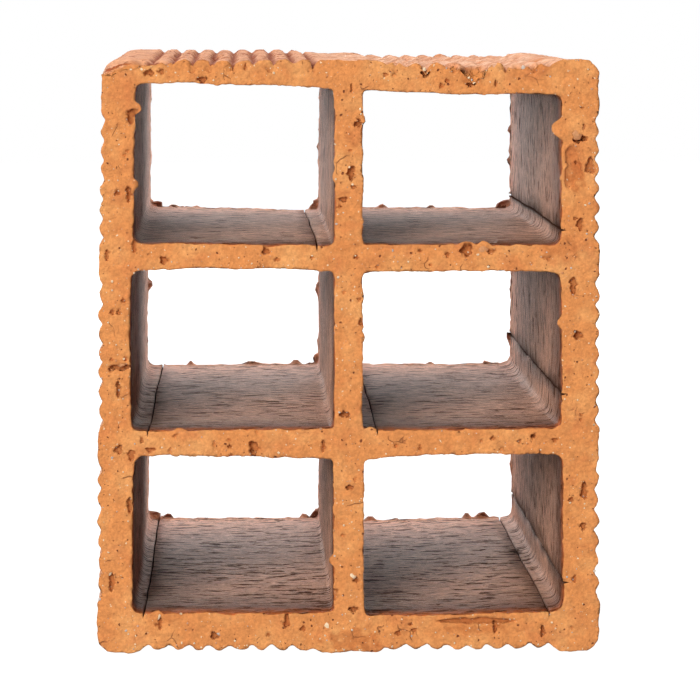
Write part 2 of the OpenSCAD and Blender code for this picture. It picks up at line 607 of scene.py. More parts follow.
    # The die tears the skins across the draw, close enough to the ends for the rings to carry it.
    skin = add("ShaderNodeMath", [1.0, marked.outputs["Cut"]], operation="SUBTRACT")
    tears = add("ShaderNodeMapRange", {
        "Value": noise(4, 1.0, (5, 1.1, 5), distortion=0.3),
        "From Min": 0.36, "From Max": 0.56, "To Min": -1.0, "To Max": 0.0,
    }, interpolation_type="SMOOTHSTEP")
    for share in (given["Tear Height"], at_end, skin):
        tears = add("ShaderNodeMath", [tears, share], operation="MULTIPLY")

    # The ribs are scraped away in patches, on the outer faces only.
    wall = add("GeometryNodeInputNamedAttribute", {"Name": "cell_wall"}, data_type="FLOAT")
    outside = add("ShaderNodeMath", [1.0, wall], operation="SUBTRACT")
    outside = add("ShaderNodeMath", [outside, skin], operation="MULTIPLY")
    patches = add("ShaderNodeMapRange", {
        "Value": noise(5, 4.5, (1, 2.4, 1), detail=3, distortion=0.4),
        "From Min": 0.5, "From Max": 0.68, "To Min": 0.0, "To Max": -1.0,
    }, interpolation_type="SMOOTHSTEP")
    for share in (given["Rib Wear"], outside):
        patches = add("ShaderNodeMath", [patches, share], operation="MULTIPLY")

    # The grit stands out on the cuts and fades into the skins.
    grit = add("ShaderNodeMath", [noise(6, 1.1, detail=3), 0.5], operation="SUBTRACT")
    grit = add("ShaderNodeMath", [grit, at_end], operation="MULTIPLY")
    grit = add("ShaderNodeMath", [grit, given["Grain Height"], patches], operation="MULTIPLY_ADD")
    raised = add("ShaderNodeMath", [grit, tears], operation="ADD")
    offset = add("ShaderNodeVectorMath", {
        "Vector": add("GeometryNodeInputNormal"), "Scale": raised,
    }, operation="SCALE")
    for part in shoves:
        offset = add("ShaderNodeVectorMath", [offset, part], operation="ADD")
    rough = add("GeometryNodeSetPosition", {"Geometry": packed, "Offset": offset})

    real = add("GeometryNodeRealizeInstances", {"Geometry": rough})
    on_cell = add("ShaderNodeMath", [wall, 0.9], operation="GREATER_THAN")
    for chosen, material in ((True, "Outer"), (on_cell, "Cell"), (marked.outputs["Cut"], "Cut")):
        real = add("GeometryNodeSetMaterial", {
            "Geometry": real, "Selection": chosen, "Material": given[f"{material} Material"],
        })
    add("NodeGroupOutput", {"Geometry": real})
    return tree


# ---------------------------------------------------------------- damage

# Pits and gashes in the front cut, in mm: (x, z), the half sizes across and up, and the depth.
FRONT_PITS = (
    (17.8, 136.9, 0.9, 0.7, 1.6), (8.4, 136.7, 0.5, 0.4, 0.8), (22.9, 135.3, 0.5, 0.4, 0.8),
    (21.5, 134.1, 0.4, 0.5, 0.8), (-47.2, 137.2, 1.0, 0.6, 1.6), (-44.4, 137.4, 0.6, 0.5, 1.0),
    (-34.7, 135.5, 0.9, 0.6, 1.3), (-51.6, 127.1, 0.7, 1.6, 1.5), (-52.1, 108.7, 0.5, 1.6, 1.4),
    (-54.9, 108.9, 0.5, 0.5, 1.0), (1.8, 125.2, 0.7, 0.6, 1.6), (0.2, 113.6, 0.7, 1.5, 1.6),
    (-1.5, 107.3, 0.8, 0.5, 1.2), (0.8, 110.3, 0.5, 0.4, 0.8), (54.0, 121.7, 1.4, 0.9, 2.4),
    (52.7, 114.3, 1.7, 4.2, 0.65), (56.6, 115.0, 0.9, 1.6, 1.2), (54.2, 101.4, 0.6, 1.3, 1.2),
    (-57.3, 94.4, 0.4, 1.2, 1.0), (-50.9, 96.5, 0.4, 1.4, 1.0), (-43.9, 93.0, 0.8, 0.8, 1.3),
    (-19.9, 95.1, 0.8, 0.6, 1.4), (-17.3, 93.2, 0.5, 0.4, 0.9), (1.5, 93.7, 0.5, 0.4, 0.9),
    (27.6, 95.2, 1.2, 1.1, 2.2), (33.2, 95.0, 0.9, 0.5, 1.3), (52.8, 87.1, 0.7, 1.9, 1.4),
    (53.9, 75.2, 0.9, 0.8, 1.8), (-53.5, 83.5, 0.5, 0.4, 0.9), (-54.7, 80.7, 0.4, 0.5, 0.8),
    (-56.1, 80.7, 0.5, 0.5, 0.9), (-54.0, 67.6, 2.0, 0.6, 1.8), (-56.4, 67.1, 0.6, 0.4, 1.0),
    (-54.7, 62.8, 0.4, 1.7, 1.2), (-1.3, 56.5, 1.1, 0.6, 1.7), (2.5, 78.3, 0.4, 0.8, 1.0),
    (-54.7, 48.2, 0.8, 0.9, 1.2), (-51.7, 47.0, 0.7, 1.2, 1.0), (-47.2, 48.2, 1.0, 0.4, 1.2),
    (-22.7, 48.5, 0.9, 1.6, 1.8), (-6.2, 48.9, 0.4, 1.2, 1.0), (33.8, 50.8, 0.5, 0.4, 0.9),
    (43.4, 51.3, 0.5, 0.4, 0.9), (40.1, 50.1, 0.4, 0.4, 0.8), (48.4, 50.4, 0.5, 0.4, 0.9),
    (-52.1, 35.3, 0.5, 1.7, 1.3), (-56.3, 16.8, 0.6, 1.9, 1.2), (-0.1, 39.2, 0.8, 0.5, 1.3),
    (1.4, 17.2, 0.6, 0.5, 1.2), (-3.6, 13.9, 0.5, 1.2, 1.2), (0.8, 10.1, 0.9, 0.5, 1.6),
    (-45.0, 7.2, 0.4, 1.4, 1.1), (-32.1, 4.0, 0.9, 0.7, 1.3), (-14.9, 7.1, 0.6, 1.5, 1.3),
    (-11.2, 5.6, 0.6, 0.5, 1.0), (11.4, 4.5, 0.6, 0.5, 1.0), (15.2, 5.2, 0.5, 0.4, 0.9),
    (28.3, 7.3, 8.0, 0.6, 1.1), (34.5, 6.2, 0.5, 1.3, 1.2), (45.8, 4.7, 0.5, 1.1, 1.2),
    (55.4, 37.9, 0.6, 1.8, 1.3), (52.4, 36.2, 0.5, 0.5, 1.0), (55.2, 29.9, 0.6, 0.8, 1.1),
    (28.3, 134.3, 0.6, 0.45, 1.8), (26.6, 137.9, 0.5, 0.5, 1.6),
)
# Darker and paler patches in the front cut, in mm: (x, z), the half sizes, and the tone, below 0 if darker.
FRONT_STAINS = (
    (0.5, 3.0, 7.0, 3.2, -1.0), (-44.0, 11.0, 6.0, 4.0, -0.5), (50.0, 96.0, 5.0, 3.0, -0.6),
    (-52.0, 63.0, 3.0, 4.0, -0.5), (-55.5, 121.0, 2.0, 6.0, 0.6), (12.0, 136.8, 8.0, 2.0, 0.8),
    (30.0, 5.5, 9.0, 1.2, -0.8), (53.6, 113.4, 2.2, 4.6, -1.0), (-2.0, 96.5, 4.0, 2.0, -0.4),
    (56.0, 30.0, 2.0, 7.0, 0.5), (-12.0, 50.5, 7.0, 1.5, 0.5), (38.0, 95.5, 6.0, 1.5, 0.5),
    (29.3, 136.6, 3.4, 2.4, -1.0), (0.5, 70.0, 2.0, 8.0, 0.4), (-55.0, 45.0, 2.5, 8.0, 0.4),
    (0.0, 118.0, 2.0, 5.0, -0.4),
)
# How many small pits there are besides, and how much deeper the pits are where they are deepest.
SMALL_PITS = 50
# Clay shoved over the edge of a cell at the front, in mm: (x, z), the radius, and the shove in x and z.
FRONT_LUMPS = (
    (-50.6, 129.0, 2.0, 1.5, 0.0), (-50.8, 111.1, 1.6, 1.2, 0.0), (50.4, 124.0, 2.6, -2.4, 0.0),
    (51.0, 78.4, 2.2, -1.4, 0.0), (-3.4, 21.9, 2.4, -1.2, 0.0), (-45.5, 9.4, 1.6, 0.0, 0.8),
    (27.5, 96.3, 1.8, 0.0, 0.7), (31.6, 96.3, 1.8, 0.0, 0.9), (-40.4, 52.6, 2.2, 0.0, 0.7),
    (5.0, 52.6, 2.0, 0.0, 0.8), (-3.4, 112.5, 2.0, -0.7, 0.0), (3.5, 126.0, 2.0, 0.7, 0.0),
    (3.5, 102.0, 1.6, 0.6, 0.0), (3.5, 75.0, 1.8, 0.6, 0.0), (-50.6, 30.0, 1.8, 0.5, 0.0),
)
# Holes torn in the valleys between the upper ribs just behind the front cut: their X, how far each
# reaches on each axis, and how far its clay is pulled, all in mm.
TORN_VALLEYS = (-37.0, -33.3, -27.7, -18.9, -8.9, 10.4, 17.8, 24.4, 36.6, 43.4)
VALLEY_REACH = (1.5, 2.4, 1.6)
VALLEY_PULL = (0, 0.7, -1.6)
# Crumbs that the wire dragged over the rear edges of the cells, in mm, as above.
REAR_CRUMBS = (
    (-39.6, 52.9, 1.8, 0.0, 1.3), (-23.1, 52.9, 3.2, 0.0, 0.8), (-10.2, 52.9, 1.8, 0.0, 1.2),
    (-5.0, 54.5, 2.6, -1.3, 0.6), (-50.0, 10.0, 2.6, 0.9, 1.4), (-46.0, 9.2, 2.0, 0.0, 1.3),
    (-4.2, 9.8, 2.6, -0.8, 1.5), (-8.0, 9.2, 1.6, 0.0, 1.1), (37.8, 9.2, 1.6, 0.0, 1.4),
    (42.2, 9.2, 2.4, 0.0, 1.5), (10.8, 9.2, 2.0, 0.0, 1.2), (5.6, 9.6, 2.2, 0.0, 1.0),
    (-49.6, 97.2, 2.8, 1.4, 1.2), (-44.4, 96.4, 1.6, 0.0, 0.9), (-4.8, 97.4, 2.6, -1.4, 1.2),
    (48.6, 97.2, 3.0, -1.5, 1.2), (14.0, 96.4, 2.0, 0.0, 1.0), (28.0, 96.4, 1.6, 0.0, 0.9),
    (49.5, 60.0, 2.4, -1.2, 0.8), (-51.0, 75.5, 2.2, 1.3, 0.0), (-51.0, 81.5, 1.8, 1.0, 0.0),
    (-3.4, 74.0, 2.2, -0.9, 0.0), (50.6, 110.0, 2.0, -1.0, 0.0), (50.6, 118.5, 1.8, -0.8, 0.0),
)
PIT_DEEPENING = 1.6


def front_pits(cad, seed):
    """The chosen pits of the front cut and the small ones between them, all as in FRONT_PITS."""
    shuffle = np.random.default_rng(seed)
    pits = list(FRONT_PITS)
    cells = [even_points(loop, 1 * MM) for loop in section_loops(cad)[1:]]
    for _ in range(SMALL_PITS):
        cell = cells[shuffle.integers(len(cells))]
        x, z = cell[shuffle.integers(len(cell))] / MM
        middle_x, middle_z = cell.mean(axis=0) / MM
        off = shuffle.uniform(1.2, 6.5) / math.hypot(x - middle_x, z - middle_z)
        width, height = shuffle.uniform(0.22, 0.45, 2) * (1, shuffle.choice((1, 1, 2)))
        place = (x + (x - middle_x) * off, z + (z - middle_z) * off)
        pits.append((*place, width, height, shuffle.uniform(0.4, 0.9)))
    return pits


def push(points, centre, radii, move, lobes=0.0, rim=0.45):
    """Move the points inside an ellipsoid, fully at its heart and not at all at its skin.

    The skin waves in and out with the angle round Y, from a start that lobes turns.
    """
    centre, radii = np.array(centre), np.array(radii)
    near = np.flatnonzero(np.abs(points[:, 1] - centre[1]) < 1.3 * radii[1])
    near = near[np.abs(points[near, 0] - centre[0]) < 1.3 * radii[0]]
    near = near[np.abs(points[near, 2] - centre[2]) < 1.3 * radii[2]]
    away = points[near] - centre
    turn = np.arctan2(away[:, 2], away[:, 0])
    wave = 1 + 0.18 * np.sin(3 * turn + lobes) + 0.13 * np.sin(5 * turn + 2 * lobes)
    reach = np.linalg.norm(away / radii, axis=1) / wave
    points[near] += np.outer(1 - smooth_step(1 - rim, 1, reach), move)


def carve(points, ceiling):
    """Cut the points down to a surface that gives the highest z for each x and y."""
    points[:, 2] = np.minimum(points[:, 2], ceiling(points[:, 0], points[:, 1]))


def roughness(x, y, size):
    """A cheap broken-looking relief of about one mm, for fracture faces."""
    a, b = x / (size * MM), y / (size * MM)
    return (np.sin(a + 1.7 * np.sin(b)) + np.sin(1.9 * b + 1.3 * np.sin(1.4 * a + 1))) * 0.3 * MM


def broken_corner(x, y):
    """Top of the clay where the upper left corner broke off at the front."""
    rise = 0.24 * (x + 58.5 * MM) + 0.42 * (y - FRONT_CUT)
    return 136.3 * MM + rise + 0.9 * roughness(x, y, 1.1)


def edge_notch(x, y):
    """Top of the clay in the V-shaped notch on the upper front edge."""
    side = np.abs(x - 29.3 * MM)
    return 134.2 * MM + side + 0.42 * (y - FRONT_CUT) + 1.6 * roughness(x, y, 0.5)


def edge_chip(x, y):
    """Top of the clay in the shallow chip near the upper right corner."""
    side = np.maximum(np.abs(x - 40.5 * MM) - 2.5 * MM, 0) * 0.8
    return 138.1 * MM + side + 0.5 * (y - FRONT_CUT) + roughness(x, y, 0.6)


def corner_hollow(x, y):
    """Top of the clay in the torn hollow behind the broken corner."""
    away = np.hypot((x + 46 * MM) / 1.6, (y - FRONT_CUT - 3.5 * MM) / 1.2)
    return 136.9 * MM + away * 0.8 + 1.2 * roughness(x, y, 0.6)


def stains_and_groove_shade(points):
    """Tone of each point, from -1 where it is darkest to 1 where it is palest.

    The grooves of the outer faces get painted shade, most of all those torn open on the upper left,
    and some patches of the front cut are stained darker or paler.
    """
    across, up = points[:, 0], points[:, 2]
    gap = np.min([across + HALF_WIDTH, HALF_WIDTH - across, up, HEIGHT - up], axis=0)
    torn_open = (across < 0) & (across > -(PANEL_END + 1) * MM) & (up > HEIGHT - 5 * MM)
    # Painted shade: the deeper a point lies in a groove of an outer face, the darker its tone.
    usual = -0.4 * smooth_step(0.8 * MM, 1.9 * MM, gap)
    tone = np.where(torn_open, -smooth_step(0.25 * MM, 0.9 * MM, gap), usual)
    tone *= gap < 3.2 * MM
    tone[np.abs(points[:, 1]) > REAR_CUT - 0.6 * MM] = 0
    near = np.flatnonzero(points[:, 1] < FRONT_CUT + 4 * MM)
    for x, z, across, up, strength in FRONT_STAINS:
        away_x, away_z = points[near, 0] / MM - x, points[near, 2] / MM - z
        wave = 0.25 * np.sin(1.9 * away_x + away_z + x) + 0.2 * np.sin(2.3 * away_z - 0.7 * away_x)
        tone[near] += strength * (1 - smooth_step(0.55, 1.0, np.hypot(away_x / across, away_z / up) + wave))
    return tone


def swell(points):
    """Lift the upper left of the block towards the rear, where it bulged as it dried."""
    left = 1 - smooth_step(-14 * MM, 0, points[:, 0])
    upper = smooth_step(128 * MM, HEIGHT, points[:, 2])
    points[:, 2] += 1.0 * MM * left * upper * smooth_step(FRONT_CUT + 4 * MM, 0.6 * REAR_CUT, points[:, 1])


def damage(points, cad, seed):
    """Pit, lump and chip the block.

    Returns how deep each point lies in a pit, and how far it moved in all.
    """
    swell(points)
    sound = points.copy()
    for number, (x, z, across, up, depth) in enumerate(front_pits(cad, seed)):
        radii = np.array((across, 3.0, up)) * 1.25 * MM
        sink = PIT_DEEPENING * depth * MM
        push(points, (x * MM, FRONT_CUT, z * MM), radii, (0, sink, 0), number, 0.25)
        # Every other pit has its like in the rear cut.
        if number % 2:
            push(points, (x * MM, REAR_CUT, z * MM), radii, (0, -sink, 0), number, 0.35)
    for x in TORN_VALLEYS:
        push(points, (x * MM, FRONT_CUT + 1.2 * MM, HEIGHT - 1.4 * MM), np.array(VALLEY_REACH) * MM,
             np.array(VALLEY_PULL) * MM, lobes=x, rim=0.6)
    pitted = np.linalg.norm(points - sound, axis=1)
    for cut, lumps in ((FRONT_CUT, FRONT_LUMPS), (REAR_CUT, REAR_CRUMBS)):
        for number, (x, z, radius, move_x, move_z) in enumerate(lumps):
            push(points, (x * MM, cut, z * MM), np.array((radius, 2.4, radius)) * MM,
                 (move_x * MM, 0, move_z * MM), lobes=number, rim=0.8)

    # Small crumbs and nicks all round the cells, bigger where the wire came out at the rear.
    shuffle = np.random.default_rng(seed)
    for loop in section_loops(cad)[1:]:
        rim = lean(slump_cell(even_points(loop, 4.2 * MM)))
        middle = rim.mean(axis=0)
        for cut, size, sign in ((FRONT_CUT, 0.4, (-1, 1)), (REAR_CUT, 0.75, (-0.5, 1))):
            for x, z in rim + shuffle.uniform(-1.5, 1.5, rim.shape) * MM:
                inward = (middle - (x, z)) / np.linalg.norm(middle - (x, z))
                shove = inward * size * shuffle.uniform(*sign) ** 3 * MM
                radius = shuffle.uniform(0.6, 1.8) * MM
                push(points, (x, cut, z), np.array((radius, 1.6 * MM, radius)),
                     (shove[0], 0, shove[1]), lobes=x / MM, rim=0.8)

    # The chips are all in the upper front edge, so only the points near it are carved.
    top_front = (points[:, 2] > HEIGHT - 10 * MM) & (points[:, 1] < FRONT_CUT + 16 * MM)
    top = points[top_front]
    for ceiling in (broken_corner, edge_notch, edge_chip, corner_hollow):
        carve(top, ceiling)
    points[top_front] = top
    return pitted, np.linalg.norm(points - sound, axis=1)


# ---------------------------------------------------------------- materials


def new_material(name, roughness, shine):
    """A clay material. Returns it, its tree, its shader and the object's own coordinates."""
    material = bpy.data.materials.new(name)
    material.use_nodes = True
    tree = material.node_tree
    tree.nodes.clear()
    shader = add_node(tree, "ShaderNodeBsdfPrincipled", {
        "Roughness": roughness, "IOR": 1.5, "Specular IOR Level": shine,
    })
    add_node(tree, "ShaderNodeOutputMaterial", {"Surface": shader})
    place = add_node(tree, "ShaderNodeTexCoord").outputs["Object"]
    return material, tree, shader, place


def specks(tree, place, spacing, radius, share):
    """Mask of scattered specks of a radius in mm, found in a share of the places they could be."""
    spots = add_node(tree, "ShaderNodeTexVoronoi", {"Vector": place, "Scale": per_mm(spacing)})
    chance = add_node(tree, "ShaderNodeSeparateColor", [spots.outputs["Color"]])
    chosen = add_node(tree, "ShaderNodeMath", [chance.outputs["Red"], share], operation="LESS_THAN")
    body = add_node(tree, "ShaderNodeMapRange", {
        "Value": spots.outputs["Distance"], "From Min": 0.7 * radius / spacing,
        "From Max": 1.2 * radius / spacing, "To Min": 1.0, "To Max": 0.0,
    })
    return add_node(tree, "ShaderNodeMath", [chosen, body], operation="MULTIPLY")


def cloud(tree, place, size, detail, low, high):
    """Noise with features of a size in mm, spread from 0 at low to 1 at high."""
    noise = add_node(tree, "ShaderNodeTexNoise", {
        "Vector": place, "Scale": per_mm(size), "Detail": detail, "Roughness": 0.6,
    })
    return add_node(tree, "ShaderNodeMapRange", {"Value": noise, "From Min": low, "From Max": high})


def shaken(tree, place, size, amount):
    """Coordinates pushed about by an amount in mm, so that specks and lines lose their roundness."""
    noise = add_node(tree, "ShaderNodeTexNoise", {"Vector": place, "Scale": per_mm(size), "Detail": 1.0})
    centred = add_node(tree, "ShaderNodeVectorMath", [noise.outputs["Color"], (0.5, 0.5, 0.5)],
                       operation="SUBTRACT")
    moved = add_node(tree, "ShaderNodeVectorMath", {"Vector": centred, "Scale": 2 * amount * MM},
                     operation="SCALE")
    return add_node(tree, "ShaderNodeVectorMath", [place, moved], operation="ADD").outputs[0]


def painted(tree, body, coats):
    """A colour under coats of others. A coat is a mask, the share of it that covers, and a colour."""
    for mask, share, tint in coats:
        cover = add_node(tree, "ShaderNodeMath", [mask, share], operation="MULTIPLY", use_clamp=True)
        body = add_node(tree, "ShaderNodeMix", {"Factor": cover, "A": body, "B": tint}, data_type="RGBA")
    return body.outputs[2]


def shaded(tree, body, pattern, darkest, palest):
    """A colour whose brightness a pattern leads, from a darkest to a palest share of it."""
    shade = add_node(tree, "ShaderNodeMapRange", {"Value": pattern, "To Min": darkest, "To Max": palest})
    return add_node(tree, "ShaderNodeVectorMath", {"Vector": body, "Scale": shade}, operation="SCALE")


def strongest(tree, masks):
    """The strongest of some masks, once each is weakened to a share of itself."""
    most = 0.0
    for mask, share in masks:
        weakened = add_node(tree, "ShaderNodeMath", [mask, share], operation="MULTIPLY")
        most = add_node(tree, "ShaderNodeMath", [weakened, most], operation="MAXIMUM")
    return most


def give_surface(tree, shader, body, relief):
    """Give a shader its colour and its relief, as masks with the height in mm that each one adds."""
    height = 0.0
    for mask, rise in relief:
        height = add_node(tree, "ShaderNodeMath", [mask, rise, height], operation="MULTIPLY_ADD")
    bump = add_node(tree, "ShaderNodeBump", {"Distance": MM, "Height": height})
    tree.links.new(body, shader.inputs["Base Color"])
    tree.links.new(bump.outputs[0], shader.inputs["Normal"])


def cut_clay_colour(tree, place, colours):
    """Mottled orange of open fired clay, darker and paler in the stained patches that a point attribute
    holds.
    """
    stain_and_groove_shade = add_node(tree, "ShaderNodeAttribute", attribute_name="stain_and_groove_shade").outputs["Fac"]
    body = painted(tree, (*colours.cut_clay, 1), (
        (cloud(tree, place, 11, 3, 0.47, 0.68), 1.0, (*colours.cut_pale, 1)),
        (cloud(tree, shaken(tree, place, 20, 4), 7, 3, 0.52, 0.74), 0.5, (*colours.cut_red, 1)),
        (stain_and_groove_shade, -0.6, colour("#A45A29")),
        (stain_and_groove_shade, 0.6, (*colours.cut_pale, 1)),
    ))
    body = shaded(tree, body, cloud(tree, shaken(tree, place, 3, 1), 2.4, 3, 0.3, 0.7), 0.9, 1.08)
    return shaded(tree, body, cloud(tree, place, 0.7, 4, 0.32, 0.68), 0.82, 1.14)


def cut_clay_material(colours):
    """Red clay, extruded, cut by a taut wire and fired without a glaze.

    The eye sees a dry mottled orange with fine pale grit, pin holes and short dark drag marks.
    The holes, marks, hair cracks and pits are painted darker as shade.
    """
    material, tree, shader, place = new_material(CUT_MATERIAL, 0.9, 0.2)
    add = partial(add_node, tree)
    loose = shaken(tree, place, 0.8, 0.35)
    light = strongest(tree, (
        (specks(tree, loose, 1.9, 0.2, 0.5), 1.0),
        (specks(tree, loose, 0.9, 0.11, 0.22), 0.55),
    ))
    # Drag marks run down the cut, because the wire went down.
    upright = add("ShaderNodeMapping", {"Vector": loose, "Scale": (1.0, 1.0, 0.28)})
    marks = add("ShaderNodeMath", [
        cloud(tree, upright.outputs[0], 1.1, 2, 0.70, 0.74), cloud(tree, place, 14, 1, 0.5, 0.6),
    ], operation="MULTIPLY")
    # Hair cracks run between lumps of clay that did not knit.
    lumps = add("ShaderNodeTexVoronoi", {
        "Vector": shaken(tree, place, 4, 2.2), "Scale": per_mm(9),
    }, feature="DISTANCE_TO_EDGE")
    hair = add("ShaderNodeMapRange", {
        "Value": lumps, "From Min": 0.005, "From Max": 0.014, "To Min": 0.6, "To Max": 0.0,
    })
    hair = add("ShaderNodeMath", [hair, cloud(tree, place, 8, 2, 0.6, 0.66)], operation="MULTIPLY")
    # Painted shade: pin holes, drag marks and hair cracks are painted dark, as the shade in these hollows.
    dark = strongest(tree, (
        (specks(tree, loose, 2.3, 0.26, 0.4), 1.0),
        (specks(tree, loose, 1.1, 0.15, 0.3), 0.7),
        (marks, 0.8),
        (hair, 1.0),
    ))
    # Painted shade: the pits are painted darker the deeper they go.
    pit = add("ShaderNodeAttribute", attribute_name="pit").outputs["Fac"]
    body = painted(tree, cut_clay_colour(tree, place, colours), (
        (light, 1.0, (*colours.grains, 1)),
        (dark, 1.0, colour("#73391E")),
        (pit, 0.32, colour("#86431F")),
    ))
    give_surface(tree, shader, body, (
        (cloud(tree, place, 0.55, 4, 0.2, 0.8), 0.16),
        (dark, -0.4),
        (light, 0.05),
        (cloud(tree, shaken(tree, place, 6, 1.5), 3.5, 3, 0.3, 0.7), 0.3),
    ))
    return material


def drag_lines(tree, place):
    """Tears that the die left across the draw. Returns the broad and the fine ones, and their coordinates."""
    across = add_node(tree, "ShaderNodeMapping", {
        "Vector": shaken(tree, place, 5, 1.2), "Scale": (0.42, 1.0, 0.42),
    }).outputs[0]
    broad = cloud(tree, across, 2.4, 3, 0.573, 0.591)
    fine = cloud(tree, across, 1.0, 4, 0.38, 0.62)
    return broad, fine, across


def cell_skin_material(colours):
    """The clay's closed skin inside the cells, drawn over the die's cores and fired in little air.

    The eye sees a dull grey-brown, torn across in short dark lines, that turns pink towards the rear
    cut and orange at the front one. Behind that orange rim, painted shade darkens it over some 60 mm,
    and its tears and long cracks are painted dark as shade.
    """
    material, tree, shader, place = new_material("Core-drawn clay skin", 0.6, 0.06)
    # Kiln dust on the skin catches the light at a slant, and it is brown.
    shader.inputs["Sheen Roughness"].default_value = 0.4
    shader.inputs["Sheen Tint"].default_value = colour("#E0B096")
    add = partial(add_node, tree)
    broad, fine, across = drag_lines(tree, place)
    y = add("ShaderNodeSeparateXYZ", [shaken(tree, place, 12, 4)]).outputs["Y"]
    to_rear = add("ShaderNodeMapRange", {
        "Value": y, "From Min": REAR_CUT - 60 * MM, "From Max": REAR_CUT - 4 * MM,
    }, interpolation_type="SMOOTHSTEP")
    front_shade = add("ShaderNodeMapRange", {
        "Value": y, "From Min": FRONT_CUT + 2 * MM, "From Max": FRONT_CUT + 62 * MM,
        "To Min": 1.0, "To Max": 0.0,
    }, interpolation_type="SMOOTHSTEP")
    at_rim = add("ShaderNodeMapRange", {
        "Value": y, "From Min": FRONT_CUT, "From Max": FRONT_CUT + 14 * MM, "To Min": 1.0, "To Max": 0.0,
    })
    fresh = add("ShaderNodeAttribute", attribute_name="fresh").outputs["Fac"]
    crack = add("ShaderNodeMapRange", {
        "Value": add("ShaderNodeAttribute", attribute_name="crack").outputs["Fac"], "From Max": 0.5,
    })
    body = painted(tree, (*colours.cell_skin, 1), (
        (cloud(tree, across, 3.2, 3, 0.35, 0.65), 1.0, colour("#BC8260")),
        (to_rear, 1.0, (*colours.cell_end, 1)),
        # painted shade, darkening the skin towards the front cut
        (front_shade, 1.0, colour("#5C2F1C")),
        (at_rim, 1.0, colour("#BE6431")),
    ))
    body = painted(tree, shaded(tree, body, fine, 0.6, 1.26), (
        # painted shade: the tears and the long cracks are painted dark, as the shade in them
        (broad, 0.8, colour("#4A2D21")),
        (fresh, 1.0, colour("#8F4A30")),
        (crack, 1.0, colour("#452A1F")),
    ))

    rough = add("ShaderNodeMapRange", {"Value": broad, "To Min": 0.56, "To Max": 0.95})
    shine = add("ShaderNodeMapRange", {"Value": crack, "To Min": 0.06, "To Max": 0.0})
    # The dust lies thin in the tears, near the front and in the cracks.
    dusty = add("ShaderNodeMapRange", {"Value": fine, "To Min": 0.55, "To Max": 1.0})
    for bare in (broad, front_shade, crack):
        kept = add("ShaderNodeMapRange", {"Value": bare, "To Min": 1.0, "To Max": 0.08})
        dusty = add("ShaderNodeMath", [dusty, kept], operation="MULTIPLY")
    speckle = add("ShaderNodeMapRange", {
        "Value": cloud(tree, place, 0.6, 2, 0.35, 0.65), "To Min": 0.7, "To Max": 1.3,
    })
    dusty = add("ShaderNodeMath", [dusty, speckle], operation="MULTIPLY")
    for name, value in (("Roughness", rough), ("Specular IOR Level", shine), ("Sheen Weight", dusty)):
        tree.links.new(value.outputs[0], shader.inputs[name])
    give_surface(tree, shader, body, ((fine, 0.22), (broad, -0.6)))
    return material


def outer_skin_material(colours):
    """The clay's skin on the ribbed faces, dragged by the die and fired in plenty of air.

    The eye sees a dry salmon pink with scaly cracks across it and orange clay where it has torn.
    Its grooves, pits and torn holes are painted darker as shade.
    """
    material, tree, shader, place = new_material("Die-drawn clay skin", 0.92, 0.06)
    add = partial(add_node, tree)
    broad, fine, _ = drag_lines(tree, place)
    # The upper left came out of the die worst torn.
    axes = add("ShaderNodeSeparateXYZ", [place])
    left = add("ShaderNodeMapRange", {
        "Value": axes.outputs["X"], "From Min": -12 * MM, "From Max": 6 * MM, "To Min": 1.0, "To Max": 0.0,
    })
    upper = add("ShaderNodeMapRange", {
        "Value": axes.outputs["Z"], "From Min": HEIGHT - 5 * MM, "From Max": HEIGHT - 2 * MM,
    })
    worst = add("ShaderNodeMath", [left, upper], operation="MULTIPLY")
    how_torn = add("ShaderNodeMapRange", {"Value": worst, "To Min": 0.4, "To Max": 0.95})
    torn = add("ShaderNodeMath", [broad, how_torn], operation="MULTIPLY")
    orange = strongest(tree, ((worst, 0.55), (cloud(tree, place, 13, 3, 0.35, 0.7), 1.0)))
    pit, fresh, stain_and_groove_shade = (
        add("ShaderNodeAttribute", attribute_name=name).outputs["Fac"] for name in ("pit", "fresh", "stain_and_groove_shade")
    )
    whole = add("ShaderNodeMath", [1.0, fresh], operation="SUBTRACT")
    # Painted shade in the grooves, less where the clay was freshly moved.
    groove_shade = add("ShaderNodeMath", [stain_and_groove_shade, whole], operation="MULTIPLY")
    body = painted(tree, (*colours.outer_skin, 1), ((orange, 1.0, colour("#CB7F4E")),))
    body = painted(tree, shaded(tree, body, fine, 0.84, 1.08), (
        (torn, 1.0, colour("#9A4A25")),
        (cloud(tree, place, 4.5, 4, 0.56, 0.68), 0.4, colour("#B06A40")),
        (fresh, 1.0, (*colours.cut_clay, 1)),
        # painted shade in the grooves, then in the pits and torn holes
        (groove_shade, -0.85, colour("#84391D")),
        (pit, 0.7, colour("#6E2F18")),
    ))
    give_surface(tree, shader, body, ((fine, 0.2), (broad, -0.45)))
    return material


def stone_material(colours):
    """Limestone, quartz and slate grit that came with the clay and stayed whole in the kiln.

    The eye sees dry cream, grey and brown crumbs in the orange clay.
    """
    material, tree, shader, place = new_material("Limestone and slate grit", 0.8, 0.3)
    tone = add_node(tree, "ShaderNodeAttribute", attribute_name="tone").outputs["Fac"]
    grey = add_node(tree, "ShaderNodeMapRange", {"Value": tone, "From Min": 0.3, "From Max": 0.5})
    brown = add_node(tree, "ShaderNodeMapRange", {"Value": tone, "From Min": 0.5, "From Max": 0.75})
    body = painted(tree, (*colours.grains, 1), (
        (grey, 1.0, colour("#A9A09A")),
        (brown, 1.0, colour("#B57C50")),
    ))
    body = shaded(tree, body, cloud(tree, place, 0.5, 3, 0.3, 0.7), 0.8, 1.1)
    tree.links.new(body.outputs[0], shader.inputs["Base Color"])
    return material


# ---------------------------------------------------------------- stone grains

